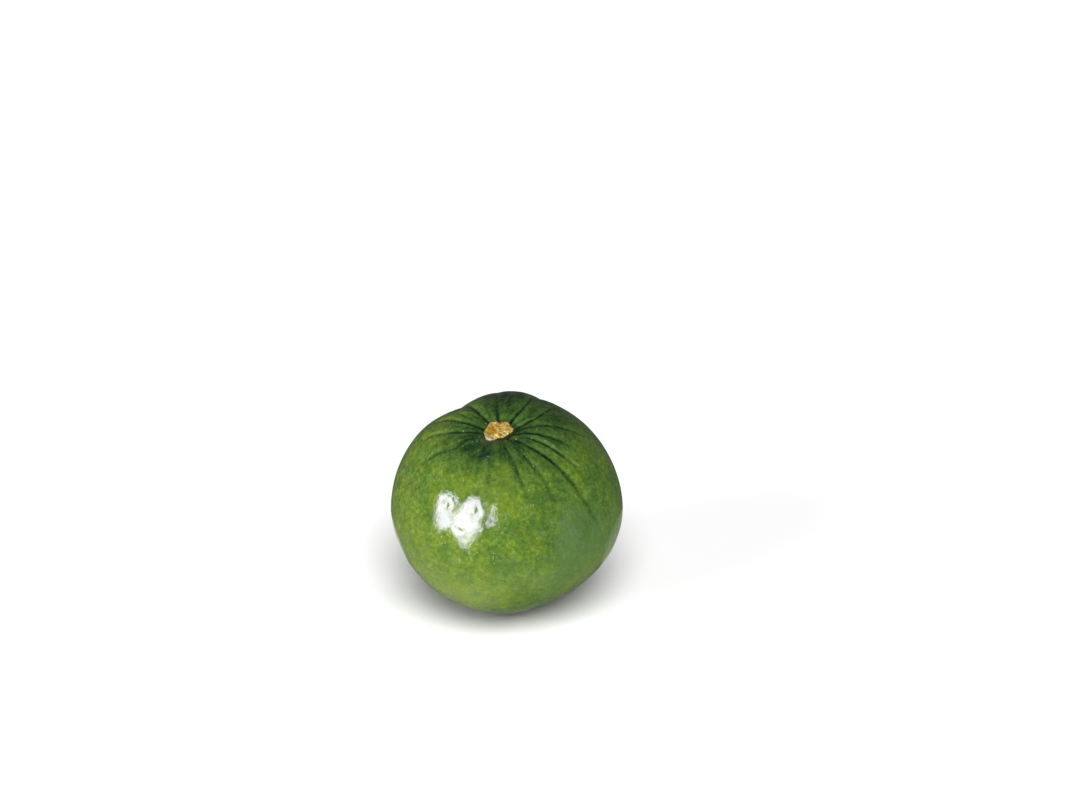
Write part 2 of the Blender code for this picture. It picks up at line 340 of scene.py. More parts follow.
# Patches of painted sheen, where the floor's reflection is painted into the skin
FLOOR_REFLECTION_PATCHES = [
    Stain(-47.0, 64.0, 0.0090, 0.0090, 1.0),
    Stain(-56.0, 76.0, 0.0130, 0.0070, 0.9),
    Stain(-38.0, 82.0, 0.0140, 0.0160, 0.9),
    Stain(-66.0, 92.0, 0.0090, 0.0120, 0.5),
]
YELLOW_STAINS = [
    Stain(-84.6, 27.5, 0.0045, 0.0035, 0.6),
    Stain(-67.5, 55.0, 0.0019, 0.0016, 1.0),
    Stain(-88.0, 42.0, 0.0070, 0.0050, 0.6),
    Stain(-125.0, 38.0, 0.0070, 0.0060, 0.6),
    Stain(-112.0, 62.0, 0.0040, 0.0090, 0.4),
]
STAINS = {
    "teal": TEAL_STAINS,
    "dusky_and_shade": DUSKY_STAINS_AND_SHADE,
    "green": GREEN_STAINS,
    "glints_and_scratches": GLINTS_AND_SCRATCHES,
    "floor_reflection": FLOOR_REFLECTION_PATCHES,
    "yellow": YELLOW_STAINS,
}


def smooth_step(low, high, value):
    share = np.clip((value - low) / (high - low), 0.0, 1.0)
    return share * share * (3.0 - 2.0 * share)


def bell(value):
    """1 at 0, and falling smoothly towards 0 on both sides."""
    return np.exp(-(value**2))


def turn_between(first, second):
    """The signed angle from the second longitude to the first, the short way round."""
    return (first - second + pi) % (2 * pi) - pi


def round_axis(longitude, radius, height):
    """The points at this distance from the stem axis and this height on it."""
    return np.stack(np.broadcast_arrays(radius * np.cos(longitude), radius * np.sin(longitude), height), -1)


def noise_at(points, length, offset):
    """Smooth noise between about -1 and 1 at each of these points, with features of this length."""
    flat = points.reshape(-1, 3) / length + offset
    return np.array([noise.noise(Vector(point)) for point in flat]).reshape(points.shape[:-1])


def waves_at(points, waves):
    return waves.height * noise_at(points, waves.length, waves.offset)


def profile(polar):
    """Distance from the stem axis and height on it, of the fruit without hollows and furrows."""
    share = smooth_step(SLOPE_CHANGE_START, SLOPE_CHANGE_END, polar)
    slope = STEM_SLOPE + (BLOSSOM_SLOPE - STEM_SLOPE) * share
    belly = 1.0 - slope * np.sin(2 * polar) ** 2
    radius = WIDTH / 2 * np.sin(polar) * belly * (1.0 - LOW_BELLY * np.cos(polar))
    return radius, HEIGHT / 2 * np.cos(polar)


def slanted(near, far, polar):
    """The longitude at this polar angle of a line that runs from near to far, both in degrees."""
    return np.radians(near + (far - near) * smooth_step(NEAR_POLAR, FAR_POLAR, polar))


def furrow_reach(furrow, polar):
    """1 along the furrow, and falling to 0 at its two ends."""
    start, end = radians(furrow.start), radians(furrow.end)
    reach = smooth_step(start - FADE / 3, start + FADE / 3, polar)
    return reach * (1.0 - smooth_step(end - FADE, end, polar))


def furrow_relief(longitude, polar, radius):
    """How deep the furrows are at each point, with the shares of painted shade along a furrow's bottom line
    and of painted light on its sides.
    """
    depth = np.zeros_like(longitude)
    shade_line_share = np.zeros_like(longitude)
    side_light_share = np.zeros_like(longitude)
    spread = smooth_step(SPREAD_START, SPREAD_END, polar)
    for furrow in FURROWS:
        reach = furrow_reach(furrow, polar)
        across = np.abs(turn_between(longitude, slanted(furrow.near, furrow.far, polar))) * radius
        across = across / (1.0 + SPREADING * spread)
        crease = np.exp(-((across / furrow.width) ** CREASE_SHARPNESS))
        shoulder = bell(across / RIB_WIDTH)
        depth += furrow.depth * reach * ((1.0 - RIB_SHARE) * crease + RIB_SHARE * shoulder)

        deep = np.clip((furrow.depth - SHALLOW_FURROW) / (DEEP_FURROW - SHALLOW_FURROW), 0.0, 1.0)
        line_width = (SOFT_LINE_WIDTH + (LINE_WIDTH - SOFT_LINE_WIDTH) * deep) * furrow.width
        line = bell(across / line_width)
        side = bell(across / (SIDE_WIDTH * furrow.width)) - line
        strength = deep * reach * (1.0 - LINE_FADE * spread)
        depth += LINE_DEPTH * strength * line
        shade_line_share = np.maximum(shade_line_share, strength * line)
        side_light_share = np.maximum(side_light_share, strength * side)
    return depth, shade_line_share, side_light_share


def blossom_ribs(longitude, polar):
    reach = smooth_step(RIBS_RISE_START, RIBS_RISE_END, polar)
    reach = reach * (1.0 - smooth_step(RIBS_FALL_START, RIBS_FALL_END, polar))
    return BLOSSOM_RIB_DEPTH * reach * np.cos(BLOSSOM_RIBS * longitude + BLOSSOM_RIB_TURN)


def swelling_height(longitude, polar):
    height = np.zeros_like(longitude)
    for swelling in SWELLINGS:
        around = turn_between(longitude, radians(swelling.longitude)) * np.sin(polar)
        along = polar - radians(swelling.polar)
        height += swelling.height * bell(np.hypot(around, along) / radians(swelling.reach))
    return height


def hollow_depth(polar, radius):
    """How far the stem end is drawn down, and how far the blossom end is drawn up, as a negative number."""
    stem_end = HOLLOW_DEPTH * bell(radius / HOLLOW_RADIUS)
    scar = SCAR_HEIGHT * (1.0 - smooth_step(1.0 - SCAR_EDGE, 1.0 + SCAR_EDGE, radius / SCAR_RADIUS))
    blossom_end = BLOSSOM_DEPTH * bell(radius / BLOSSOM_RADIUS) - scar
    return np.where(polar < pi / 2, stem_end, -blossom_end)


def stub_radius(longitude):
    """Distance from the middle of the stem to its outline, which has blunt corners and flattened sides."""
    found = np.zeros_like(longitude)
    for first, second in zip(CORNERS, CORNERS[1:] + CORNERS[:1]):
        span = (second.longitude - first.longitude) % 360
        share = (np.degrees(longitude) - first.longitude) % 360 / span
        radius = first.radius + (second.radius - first.radius) * smooth_step(0.0, 1.0, share)
        flat = EDGE_FLATNESS * (1.0 - cos(radians(span / 2))) * np.sin(pi * share) ** 2
        found = np.where(share <= 1.0, radius * (1.0 - flat), found)
    return found


def seat_polar(longitude):
    """The polar angle at which the fruit's skin meets the rim of the stem's seat."""
    polar = np.linspace(0.0, WIDEST_SEAT, SEAT_STEPS)
    return np.interp(stub_radius(longitude) + GAP, profile(polar)[0], polar)


def pits():
    """Small pits scattered over the whole skin, the same ones each run."""
    chance = np.random.default_rng(PIT_SEED)
    longitudes = chance.uniform(-180, 180, PIT_COUNT)
    polars = np.degrees(np.arccos(chance.uniform(*PIT_COSINES, PIT_COUNT)))
    radii = chance.uniform(*PIT_RADII, PIT_COUNT)
    return [Dent(*values, values[2] * PIT_STEEPNESS) for values in zip(longitudes, polars, radii)]


def dent_depth(longitude, polar):
    directions = round_axis(longitude, np.sin(polar), np.cos(polar))
    depth = np.zeros_like(longitude)
    for dent in DENTS + pits():
        dent_polar = radians(dent.polar)
        middle = round_axis(radians(dent.longitude), sin(dent_polar), cos(dent_polar))
        distance = WIDTH / 2 * np.linalg.norm(directions - middle, axis=-1)
        depth += dent.depth * bell(distance / dent.radius)
    return depth


def stain_share(stains, longitude, polar):
    share = np.zeros_like(longitude)
    for stain in stains:
        around = turn_between(longitude, radians(stain.longitude)) * WIDTH / 2 * np.sin(polar)
        along = (polar - radians(stain.polar)) * WIDTH / 2
        share += stain.strength * bell(np.hypot(around / stain.across, along / stain.along))
    return np.clip(share, 0.0, 1.0)


def collar_share(longitude, polar):
    """How far each point is inside the olive-brown collar in front of the stem."""
    front = np.clip(np.cos(longitude - radians(COLLAR_MIDDLE)), 0.0, 1.0) ** COLLAR_SHARPNESS
    end = seat_polar(longitude) + radians(COLLAR_WIDTH) * front
    return 1.0 - smooth_step(end, end + radians(COLLAR_FADE), polar)


def streaky_place(longitude, polar):
    """A place for noise that is drawn out along the meridians and gets narrower towards the ends."""
    return round_axis(longitude, STREAK_ACROSS, STREAK_ALONG * polar)


def skin_points(longitude, polar):
    """The skin's points, and the shares of painted shade along a furrow's bottom line and of painted light
    on its sides.
    """
    radius, height = profile(polar)
    depth, shade_line_share, side_light_share = furrow_relief(longitude, polar, radius)
    base = round_axis(longitude, radius, height)
    near_stem = 1.0 - smooth_step(WRINKLE_FADE_START, WRINKLE_FADE_END, polar)
    relief = swelling_height(longitude, polar) + blossom_ribs(longitude, polar) - depth
    relief += waves_at(base, SLOW_WAVES) + waves_at(base, RIPPLES)
    relief += near_stem * waves_at(streaky_place(longitude, polar), WRINKLES)
    relief -= dent_depth(longitude, polar)
    radius = radius + relief * np.sin(polar)
    height = height + relief * np.cos(polar) - hollow_depth(polar, radius)
    heading = longitude + WANDER * np.sin(WANDER_ALONG * polar + WANDER_ROUND * np.cos(longitude))
    return round_axis(heading, radius, height), shade_line_share, side_light_share


def grid_mesh(name, rows, first_pole, last_pole):
    """A closed mesh from an array of rows with as many points each, and a pole point at either end."""
    count = rows.shape[1]
    points = np.concatenate([rows.reshape(-1, 3), [first_pole, last_pole]])
    first, last = len(points) - 2, len(points) - 1
    index = np.arange(rows.shape[0] * count).reshape(-1, count)
    after = np.roll(index, -1, axis=1)
    quads = np.stack([index[:-1], index[1:], after[1:], after[:-1]], -1).reshape(-1, 4)
    faces = [(first, a, b) for a, b in zip(index[0].tolist(), after[0].tolist())]
    faces += [(last, b, a) for a, b in zip(index[-1].tolist(), after[-1].tolist())]
    mesh = bpy.data.meshes.new(name)
    mesh.from_pydata(points.tolist(), [], faces + quads.tolist())
    mesh.shade_smooth()
    return mesh


def add_share(mesh, name, rows, first_value, last_value):
    """Stores one number for each point, for the materials to read."""
    attribute = mesh.attributes.new(name, "FLOAT", "POINT")
    values = np.concatenate([rows.reshape(-1), [first_value, last_value]])
    attribute.data.foreach_set("value", values.astype(np.float32))


def add_place(mesh, name, places):
    """Stores one place for each point, for the materials to read."""
    attribute = mesh.attributes.new(name, "FLOAT_VECTOR", "POINT")
    attribute.data.foreach_set("vector", places.reshape(-1).astype(np.float32))


def add_grown_place(mesh):
    """Stores where each point is in the fruit's own frame, in millimetres."""
    add_place(mesh, "grown", points_of(mesh) * MILLIMETRES)


def points_of(mesh):
    places = np.empty(len(mesh.vertices) * 3)
    mesh.vertices.foreach_get("co", places)
    return places.reshape(-1, 3)


def lay_down(mesh):
    """Turns the mesh about the fruit's middle into the way it lies."""
    mesh.transform(Matrix.Rotation(LEAN_FORWARD, 4, "X") @ Matrix.Rotation(-LEAN_LEFT, 4, "Y"))


def resting_shift(mesh):
    """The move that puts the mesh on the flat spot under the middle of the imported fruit."""
    places = points_of(mesh)
    packed = [Vector(corner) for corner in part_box("fruit")]
    middle = (packed[0] + packed[1]) / 2
    low, high = places.min(axis=0), places.max(axis=0)
    across = (low + high) / 2
    return Vector((middle.x - across[0], middle.y - across[1], -low[2] - FLAT_SPOT_DEPTH))


def press_flat(mesh):
    """Presses the points below the surface that the fruit lies on up to it."""
    for vertex in mesh.vertices:
        vertex.co.z = max(vertex.co.z, 0.0)


def ring_shares():
    """How far down from the seat's rim to the blossom end each ring lies, closer together near both ends."""
    steps = np.arange(FINE_RINGS) / FINE_RINGS
    return steps - END_DENSITY * np.sin(2 * pi * steps) / (2 * pi)


def seat_height():
    """The level of the seat's floor on the stem axis, under the lowest point of the seat's rim."""
    longitude = np.linspace(-pi, pi, SEAT_LOOKS)
    return skin_points(longitude, seat_polar(longitude))[0][:, 2].min() - SEAT_DEPTH


def add_skin_share(mesh, name, skin, seat=0.0, blossom=0.0):
    """Stores a number for each point of the skin, one for the whole seat and one for the blossom end."""
    floor = np.full((len(SEAT_SHARES), FINE_COLUMNS), seat)
    add_share(mesh, name, np.concatenate([floor, skin]), seat, blossom)


def with_poles(rows):
    """The places of the rows, and the origin for either pole."""
    return np.concatenate([rows.reshape(-1, 3), [ORIGIN, ORIGIN]])


def add_streaky_place(mesh, streaky):
    """Stores the streaky places of the skin, with those of the seat's rim for the seat's floor."""
    floor = np.repeat(streaky[:1], len(SEAT_SHARES), axis=0)
    add_place(mesh, "streaky", with_poles(np.concatenate([floor, streaky])))


def fruit_mesh():
    longitudes = np.linspace(-pi, pi, FINE_COLUMNS, endpoint=False)
    rims = seat_polar(longitudes)
    polar = rims[None] + (pi - rims[None]) * ring_shares()[:, None]
    longitude = np.broadcast_to(longitudes, polar.shape)
    skin, shade_line_share, side_light_share = skin_points(longitude, polar)
    seat = seat_height()
    seat_radius = (stub_radius(longitudes) + GAP) * np.array(SEAT_SHARES)[:, None]
    rows = np.concatenate([round_axis(longitudes, seat_radius, seat), skin])
    blossom = skin_points(np.zeros(1), np.full(1, pi))[0][0]
    mesh = grid_mesh("fruit_skin", rows, (0.0, 0.0, seat), blossom)
    add_skin_share(mesh, "polar", polar, blossom=pi)
    add_skin_share(mesh, "furrow_shade_line", shade_line_share)
    add_skin_share(mesh, "furrow_side_light", side_light_share)
    add_skin_share(mesh, "collar", collar_share(longitude, polar), seat=1.0)
    for name, stains in STAINS.items():
        add_skin_share(mesh, name, stain_share(stains, longitude, polar))
    add_streaky_place(mesh, streaky_place(longitude, polar))
    add_grown_place(mesh)
    return mesh


def steps_to_one(count):
    """A column of as many even steps, the last of them 1."""
    return ((np.arange(count) + 1) / count)[:, None]


def fibrous_place(points):
    """A place for noise that is drawn out along the fibres of the cut stem."""
    along = points[..., 0] * cos(FIBRE_TURN) + points[..., 1] * sin(FIBRE_TURN)
    across = points[..., 1] * cos(FIBRE_TURN) - points[..., 0] * sin(FIBRE_TURN)
    across = across + waves_at(points, FIBRE_SWAY)
    return np.stack([along * FIBRE_STRETCH, across, points[..., 2] * FIBRE_SQUASH], -1)


def torn_flap(longitudes, drops):
    """Where a pale flap of torn rind hangs down the wall of the stem, 1 at its middle."""
    turn = turn_between(longitudes, radians(FLAP_MIDDLE))
    width = bell((turn / radians(FLAP_SPREAD)) ** 2)
    torn = FLAP_EVENNESS + waves_at(round_axis(longitudes, NOISE_RADIUS, 0.0), FLAP_TEARS)
    length = FLAP_LENGTH * torn * width
    return width * (1.0 - smooth_step(FLAP_THINNING * length, length + FLAP_EDGE, drops))


def cut_outline(longitudes):
    """Distance from the middle of the stem to the nibbled edge of its cut face."""
    nibbled = waves_at(round_axis(longitudes, NOISE_RADIUS, 0.0), NIBBLES)
    return stub_radius(longitudes) * CUT_SHARE * (1.0 + nibbled)


def cut_face(longitudes, top):
    """The rough fibrous face, a little lower in the middle and rounded off at its edge."""
    shares = steps_to_one(STUB_FACE_RINGS)
    face = round_axis(longitudes, cut_outline(longitudes) * shares, top)
    face[..., 2] += waves_at(fibrous_place(face), FIBRES)
    face[..., 2] += waves_at(face, LUMPS) - CUT_SAG * (1.0 - shares**2)
    rim = smooth_step(RIM_START, 1.0, shares) ** RIM_SHARPNESS
    face[..., 2] -= RIM_ROUNDING * rim * (1.0 + waves_at(face, RIM_CHIPS))
    return face


def stub_wall(longitudes, rim_heights, foot):
    """The ridged and worn wall from the edge of the cut face down to the foot in the seat."""
    drops = steps_to_one(STUB_WALL_RINGS)
    ridges = RIDGE_SHARE * np.cos(RIDGES * longitudes + RIDGE_TURN) * smooth_step(0.0, RIDGE_RISE, drops)
    wear = waves_at(round_axis(longitudes, NOISE_RADIUS, WEAR_ALONG * drops), WEAR)
    wear = wear * (1.0 - smooth_step(WEAR_FADE_START, WEAR_FADE_END, drops))
    narrowing = FOOT_NARROWING * smooth_step(FOOT_START, 1.0, drops)
    radius = cut_outline(longitudes) * (1.0 - RIDGE_SHARE + ridges + wear) * (1.0 - narrowing)
    radius = radius + FLAP_REACH * torn_flap(longitudes, drops)
    widest = stub_radius(longitudes) + WALL_LIMIT * GAP
    return round_axis(longitudes, np.minimum(radius, widest), rim_heights * (1.0 - drops) + foot * drops)


def stub_mesh():
    """The cut stem: a foot in the seat, ridged walls, and a rough fibrous cut face with a torn edge."""
    foot = seat_height() + GAP
    top = foot + SEAT_DEPTH + STUB_RISE
    longitudes = np.linspace(-pi, pi, STUB_COLUMNS, endpoint=False)
    face = cut_face(longitudes, top)
    wall = stub_wall(longitudes, face[-1, :, 2], foot)
    rows = np.concatenate([face, wall])
    mesh = grid_mesh("stem_cut", rows, (0.0, 0.0, top - CUT_SAG), (0.0, 0.0, foot))

    drops = steps_to_one(STUB_WALL_RINGS)
    down = np.broadcast_to(drops, wall.shape[:2])
    add_share(mesh, "wall", np.concatenate([np.zeros(face.shape[:2]), down]), 0.0, 1.0)
    edge = smooth_step(TORN_EDGE_START, TORN_EDGE_END, steps_to_one(STUB_FACE_RINGS))
    torn = np.concatenate([edge * torn_flap(longitudes, drops[:1]), torn_flap(longitudes, drops)])
    add_share(mesh, "torn", torn, 0.0, 0.0)
    add_place(mesh, "fibrous", with_poles(fibrous_place(rows) * MILLIMETRES))
    add_grown_place(mesh)
    return mesh


# A noise pattern: what the noise node calls these, and how far along in the noise it's read
Pattern = namedtuple("Pattern", "scale detail roughness shift", defaults=(0.5, 0.0))

# A change of value: start below low, end above high, and smooth from one to the other
Ramp = namedtuple("Ramp", "low high start end", defaults=(0.0, 1.0))


class Graph:
    """A material's nodes, with short ways to add the usual ones. Inputs are sockets or plain values."""

    def __init__(self, name):
        self.material = bpy.data.materials.new(name)
        self.material.use_nodes = True
        self.tree = self.material.node_tree
        self.shader = self.tree.nodes["Principled BSDF"]

    def put(self, socket, value):
        if isinstance(value, bpy.types.NodeSocket):
            self.tree.links.new(value, socket)
        elif isinstance(value, tuple) and len(value) == 3 and socket.type == "RGBA":
            socket.default_value = (*value, 1.0)
        else:
            socket.default_value = value

    def shade(self, inputs):
        """Sets the shader's inputs of these names."""
        for name, value in inputs.items():
            self.put(self.shader.inputs[name], value)

    def attribute(self, name, output="Fac"):
        node = self.tree.nodes.new("ShaderNodeAttribute")
        node.attribute_name = name
        return node.outputs[output]

    def math(self, operation, first, second=0.0):
        node = self.tree.nodes.new("ShaderNodeMath")
        node.operation = operation
        self.put(node.inputs[0], first)
        self.put(node.inputs[1], second)
        return node.outputs[0]

    def plus(self, first, second):
        return self.math("ADD", first, second)

    def minus(self, first, second):
        return self.math("SUBTRACT", first, second)

    def times(self, first, second):
        return self.math("MULTIPLY", first, second)

    def larger(self, first, second):
        return self.math("MAXIMUM", first, second)

    def dimmed(self, colour, factor):
        """The colour with all its parts multiplied by the factor."""
        node = self.tree.nodes.new("ShaderNodeVectorMath")
        node.operation = "SCALE"
        self.put(node.inputs[0], colour)
        self.put(node.inputs["Scale"], factor)
        return node.outputs[0]

    def moved(self, vector, distance):
        node = self.tree.nodes.new("ShaderNodeVectorMath")
        node.operation = "ADD"
        self.put(node.inputs[0], vector)
        node.inputs[1].default_value = (distance, distance, distance)
        return node.outputs[0]

    def noise(self, vector, pattern):
        if pattern.shift:
            vector = self.moved(vector, pattern.shift)
        node = self.tree.nodes.new("ShaderNodeTexNoise")
        self.put(node.inputs["Vector"], vector)
        node.inputs["Scale"].default_value = pattern.scale
        node.inputs["Detail"].default_value = pattern.detail
        node.inputs["Roughness"].default_value = pattern.roughness
        return node.outputs["Fac"]

    def cells(self, vector, scale):
        """Distance from the nearest of the scattered points, and a grey that differs from point to point."""
        node = self.tree.nodes.new("ShaderNodeTexVoronoi")
        self.put(node.inputs["Vector"], vector)
        node.inputs["Scale"].default_value = scale
        parts = self.tree.nodes.new("ShaderNodeSeparateColor")
        self.put(parts.inputs[0], node.outputs["Color"])
        return node.outputs["Distance"], parts.outputs[0]

    def axes(self, vector):
        node = self.tree.nodes.new("ShaderNodeSeparateXYZ")
        self.put(node.inputs[0], vector)
        return node.outputs["X"], node.outputs["Y"]

    def hill(self, x, y, middle_x, middle_y, reach):
        """1 at the middle, falling smoothly to 0 at the reach."""
        square_x = self.math("POWER", self.minus(x, middle_x), 2.0)
        square_y = self.math("POWER", self.minus(y, middle_y), 2.0)
        distance = self.math("SQRT", self.plus(square_x, square_y))
        return self.between(distance, Ramp(0.0, reach, 1.0, 0.0))

    def between(self, value, ramp):
        node = self.tree.nodes.new("ShaderNodeMapRange")
        node.interpolation_type = "SMOOTHSTEP"
        self.put(node.inputs["Value"], value)
        node.inputs["From Min"].default_value = ramp.low
        node.inputs["From Max"].default_value = ramp.high
        node.inputs["To Min"].default_value = ramp.start
        node.inputs["To Max"].default_value = ramp.end
        return node.outputs[0]

    def mix(self, share, first, second):
        node = self.tree.nodes.new("ShaderNodeMix")
        node.data_type = "RGBA"
        self.put(node.inputs["Factor"], share)
        self.put(node.inputs[6], first)
        self.put(node.inputs[7], second)
        return node.outputs[2]

    def bump(self, height, distance, strength=1.0, normal=None):
        node = self.tree.nodes.new("ShaderNodeBump")
        self.put(node.inputs["Height"], height)
        node.inputs["Distance"].default_value = distance
        node.inputs["Strength"].default_value = strength
        if normal is not None:
            self.put(node.inputs["Normal"], normal)
        return node.outputs[0]


# Skin colours, linear
LEAF = (0.046, 0.100, 0.015)
YELLOW_LEAF = (0.090, 0.150, 0.015)
GOLD_LEAF = (0.126, 0.184, 0.016)
CROWN_LEAF = (0.044, 0.098, 0.018)
# Painted sheen: the floor's reflection painted into the skin
FLOOR_REFLECTION = (0.078, 0.145, 0.041)
# The belly's own paler green, made paler still as painted bounce light from the floor
PALE_BELLY_AND_BOUNCE = (0.146, 0.200, 0.052)
# Deep green of the streaks and patches near the stem, partly painted shade
DEEP_GREEN_AND_SHADE = (0.007, 0.026, 0.007)
TEAL = (0.003, 0.018, 0.012)
# Painted shade for the bottoms of the furrows
FURROW_SHADE = (0.004, 0.014, 0.006)
# Pale specks, partly painted glints
SPECK_AND_GLINT = (0.240, 0.330, 0.110)
GOLD = (0.155, 0.222, 0.012)
OLIVE = (0.040, 0.050, 0.014)
SCAR_BROWN = (0.140, 0.080, 0.030)
# Painted glints, and pale scratches
GLINT_WHITE = (0.420, 0.430, 0.330)

# The skin's ground: clouds, flecks, the paler belly, made paler still with painted bounce light, and a
# painted sheen that stands in for the floor's reflection
CLOUDS = Pattern(0.09, 3.0, 0.55)
CLOUD_RAMP = Ramp(0.38, 0.62, 0.10, 0.90)
FLECKS = Pattern(0.24, 1.6, 0.50, 80.0)
GOLD_FLECKS = Ramp(0.45, 0.75, 0.0, 0.50)
GREEN_FLECKS = Ramp(0.25, 0.52, 0.50, 0.0)
BELLY_RAMP = Ramp(radians(66), radians(115), 0.0, 0.84)
BELLY_END = Ramp(radians(136), radians(152), 1.0, 0.15)
REFLECTION_NOISE = Pattern(0.16, 2.0, 0.55, 40.0)
FAINT_REFLECTION = Ramp(0.45, 0.70, 0.0, 0.35)
PATCH_REFLECTION = Ramp(0.3, 0.6, 0.4, 1.0)

# The dark streaked crown, darkened partly as painted shade
CROWN_RAMP = Ramp(radians(12), radians(43), 1.0, 0.0)
CROWN_SHARE = 0.80
STREAKS = Pattern(0.66, 2.5, 0.55)
CROWN_STREAKS = Ramp(0.36, 0.64, 0.82, 0.03)
DUSKY_STREAKS = Ramp(0.35, 0.65, 1.0, 0.5)

# The fine mottling, calmer on the belly and under the painted sheen
MOTTLE = Pattern(0.52, 5.0, 0.86)
MOTTLE_MIDDLE = 0.5
MOTTLE_CONTRAST = 3.2
BRIGHT_MOTTLE = Ramp(0.58, 0.72, 0.0, 0.45)
CALM_BELLY = Ramp(radians(55), radians(95), 1.0, 0.50)
CALM_REFLECTION = Ramp(0.0, 1.0, 1.0, 0.5)
CROWN_CONTRAST = Ramp(0.0, 1.0, 1.0, 1.15)
DARKEST = 0.25

# Stains, the furrows' painted shade and painted light, and specks that are partly painted glints
GOLD_SHARE = 0.5
RAGGED = Pattern(0.7, 3.0)
RAGGED_RAMP = Ramp(0.25, 0.75, 0.3, 1.4)
TEAL_RAMP = Ramp(0.05, 0.95, 0.0, 0.9)
# Painted light on the sides of the furrows
SIDE_LIGHT = 0.45
BROKEN = Pattern(1.5, 4.0, 0.8, 20.0)
BROKEN_RAMP = Ramp(0.34, 0.64, 0.74, 1.30)
PATCHES = Pattern(0.28, 2.0, 0.5, 60.0)
PATCH_RAMP = Ramp(0.36, 0.62, 0.62, 1.10)
LINE_RAMP = Ramp(0.0, 1.0, 0.0, 0.90)
SPECK_SCALE = 0.40
SPECK_EDGE = Ramp(0.06, 0.16, 1.0, 0.0)
SPECK_CHANCE = Ramp(0.35, 0.50)
SPECK_SHARE = 0.75
COLLAR_MOTTLE = Ramp(0.35, 0.65, 0.85, 0.45)
SCAR_RAMP = Ramp(radians(174.5), radians(176.0))

# The skin's gloss and fine bumps
SKIN_ROUGHNESS = Ramp(0.3, 0.7, 0.34, 0.44)
WAX_ROUGHNESS = 0.06
PORES = Pattern(0.9, 3.0, 0.6)
PORE_HEIGHT = 0.00006
SPECK_HEIGHT = 0.00006


def ground_colour(graph, grown, polar):
    """Green to yellow clouds with finer flecks, paler on the belly partly as painted bounce light, and with
    a painted sheen of the floor's reflection in places.
    """
    clouds = graph.noise(grown, CLOUDS)
    colour = graph.mix(graph.between(clouds, CLOUD_RAMP), LEAF, YELLOW_LEAF)
    flecks = graph.noise(grown, FLECKS)
    colour = graph.mix(graph.between(flecks, GOLD_FLECKS), colour, GOLD_LEAF)
    colour = graph.mix(graph.between(flecks, GREEN_FLECKS), colour, LEAF)
    low = graph.times(graph.between(polar, BELLY_RAMP), graph.between(polar, BELLY_END))
    low = graph.times(low, graph.minus(1.0, graph.attribute("green")))
    colour = graph.mix(low, colour, PALE_BELLY_AND_BOUNCE)
    reflection_noise = graph.noise(grown, REFLECTION_NOISE)
    floor_reflection = graph.times(graph.attribute("floor_reflection"), graph.between(reflection_noise, PATCH_REFLECTION))
    return graph.mix(graph.larger(graph.between(reflection_noise, FAINT_REFLECTION), floor_reflection), colour, FLOOR_REFLECTION)


def crowned(graph, colour, high):
    """Darker towards the stem, in streaks that run down from it: the skin's own dark crown with painted
    shade added, and dark patches that are partly painted shade.
    """
    colour = graph.mix(graph.times(high, CROWN_SHARE), colour, CROWN_LEAF)
    streaks = graph.noise(graph.attribute("streaky", "Vector"), STREAKS)
    dark = graph.times(high, graph.between(streaks, CROWN_STREAKS))
    dusky_and_shade = graph.times(graph.attribute("dusky_and_shade"), graph.between(streaks, DUSKY_STREAKS))
    return graph.mix(graph.larger(dark, dusky_and_shade), colour, DEEP_GREEN_AND_SHADE)


def mottled(graph, colour, mottle, polar, high):
    """Lighter and darker by the fine mottling."""
    calm = graph.times(graph.between(polar, CALM_BELLY), graph.between(graph.attribute("floor_reflection"), CALM_REFLECTION))
    contrast = graph.times(graph.minus(mottle, MOTTLE_MIDDLE), graph.times(calm, MOTTLE_CONTRAST))
    contrast = graph.times(contrast, graph.between(high, CROWN_CONTRAST))
    bright = graph.times(graph.between(mottle, BRIGHT_MOTTLE), calm)
    factor = graph.plus(graph.plus(contrast, bright), 1.0)
    return graph.dimmed(colour, graph.larger(factor, DARKEST))


def stained(graph, colour, grown):
    """With golden stains, and blue-green ones that have ragged edges."""
    colour = graph.mix(graph.times(graph.attribute("yellow"), GOLD_SHARE), colour, GOLD)
    ragged = graph.between(graph.noise(grown, RAGGED), RAGGED_RAMP)
    teal = graph.between(graph.times(graph.attribute("teal"), ragged), TEAL_RAMP)
    return graph.mix(teal, colour, TEAL)


def furrowed(graph, colour, grown):
    """With painted light on the sides and an uneven line of painted shade along the bottom of each furrow.
    """
    side = graph.times(graph.attribute("furrow_side_light"), SIDE_LIGHT)
    colour = graph.dimmed(colour, graph.plus(side, 1.0))
    broken = graph.between(graph.noise(grown, BROKEN), BROKEN_RAMP)
    patchy = graph.between(graph.noise(grown, PATCHES), PATCH_RAMP)
    line = graph.times(graph.times(graph.attribute("furrow_shade_line"), broken), patchy)
    return graph.mix(graph.between(line, LINE_RAMP), colour, FURROW_SHADE)


